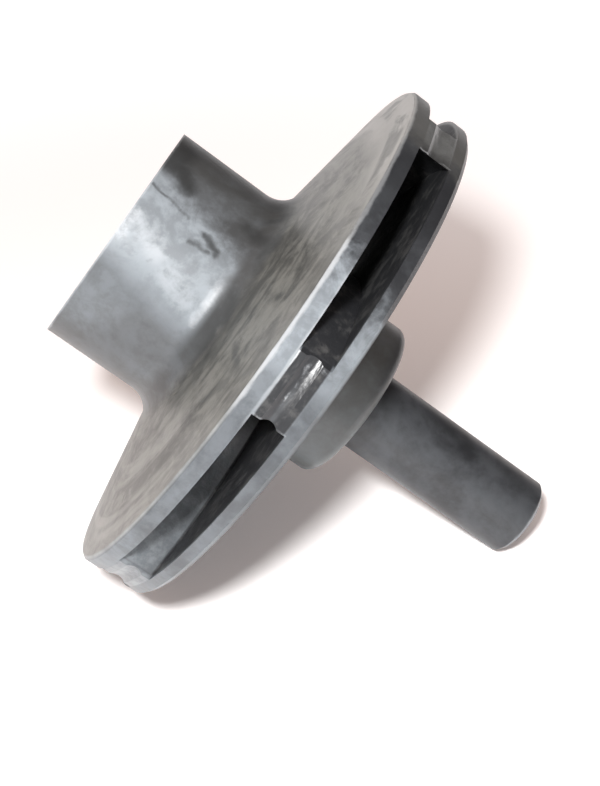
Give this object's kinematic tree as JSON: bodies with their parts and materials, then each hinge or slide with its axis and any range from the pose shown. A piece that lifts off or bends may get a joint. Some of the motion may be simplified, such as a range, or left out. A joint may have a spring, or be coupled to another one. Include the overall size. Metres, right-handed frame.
{
  "type": "pump impeller",
  "caption": "Closed centrifugal pump impeller moulded in one piece: suction collar, two shrouds over backward-curved vanes, boss and threaded drive stub.",
  "frame": {"origin": "on the axis of rotation, in the plane of the suction collar's end, on which the impeller stands", "axes": "+Z along the axis of rotation from the suction collar to the drive stub; +X and +Y square to it, with the vane passages sharing them out by sixths of a turn"},
  "size_m": [0.125, 0.125, 0.1141],
  "materials": {
    "moulded_plastic": "satin moulded graphite-black glass-filled plastic, scuffed pale on the collar"
  },
  "bodies": {
    "root": {"impeller": "moulded_plastic"}
  },
  "joints": []
}
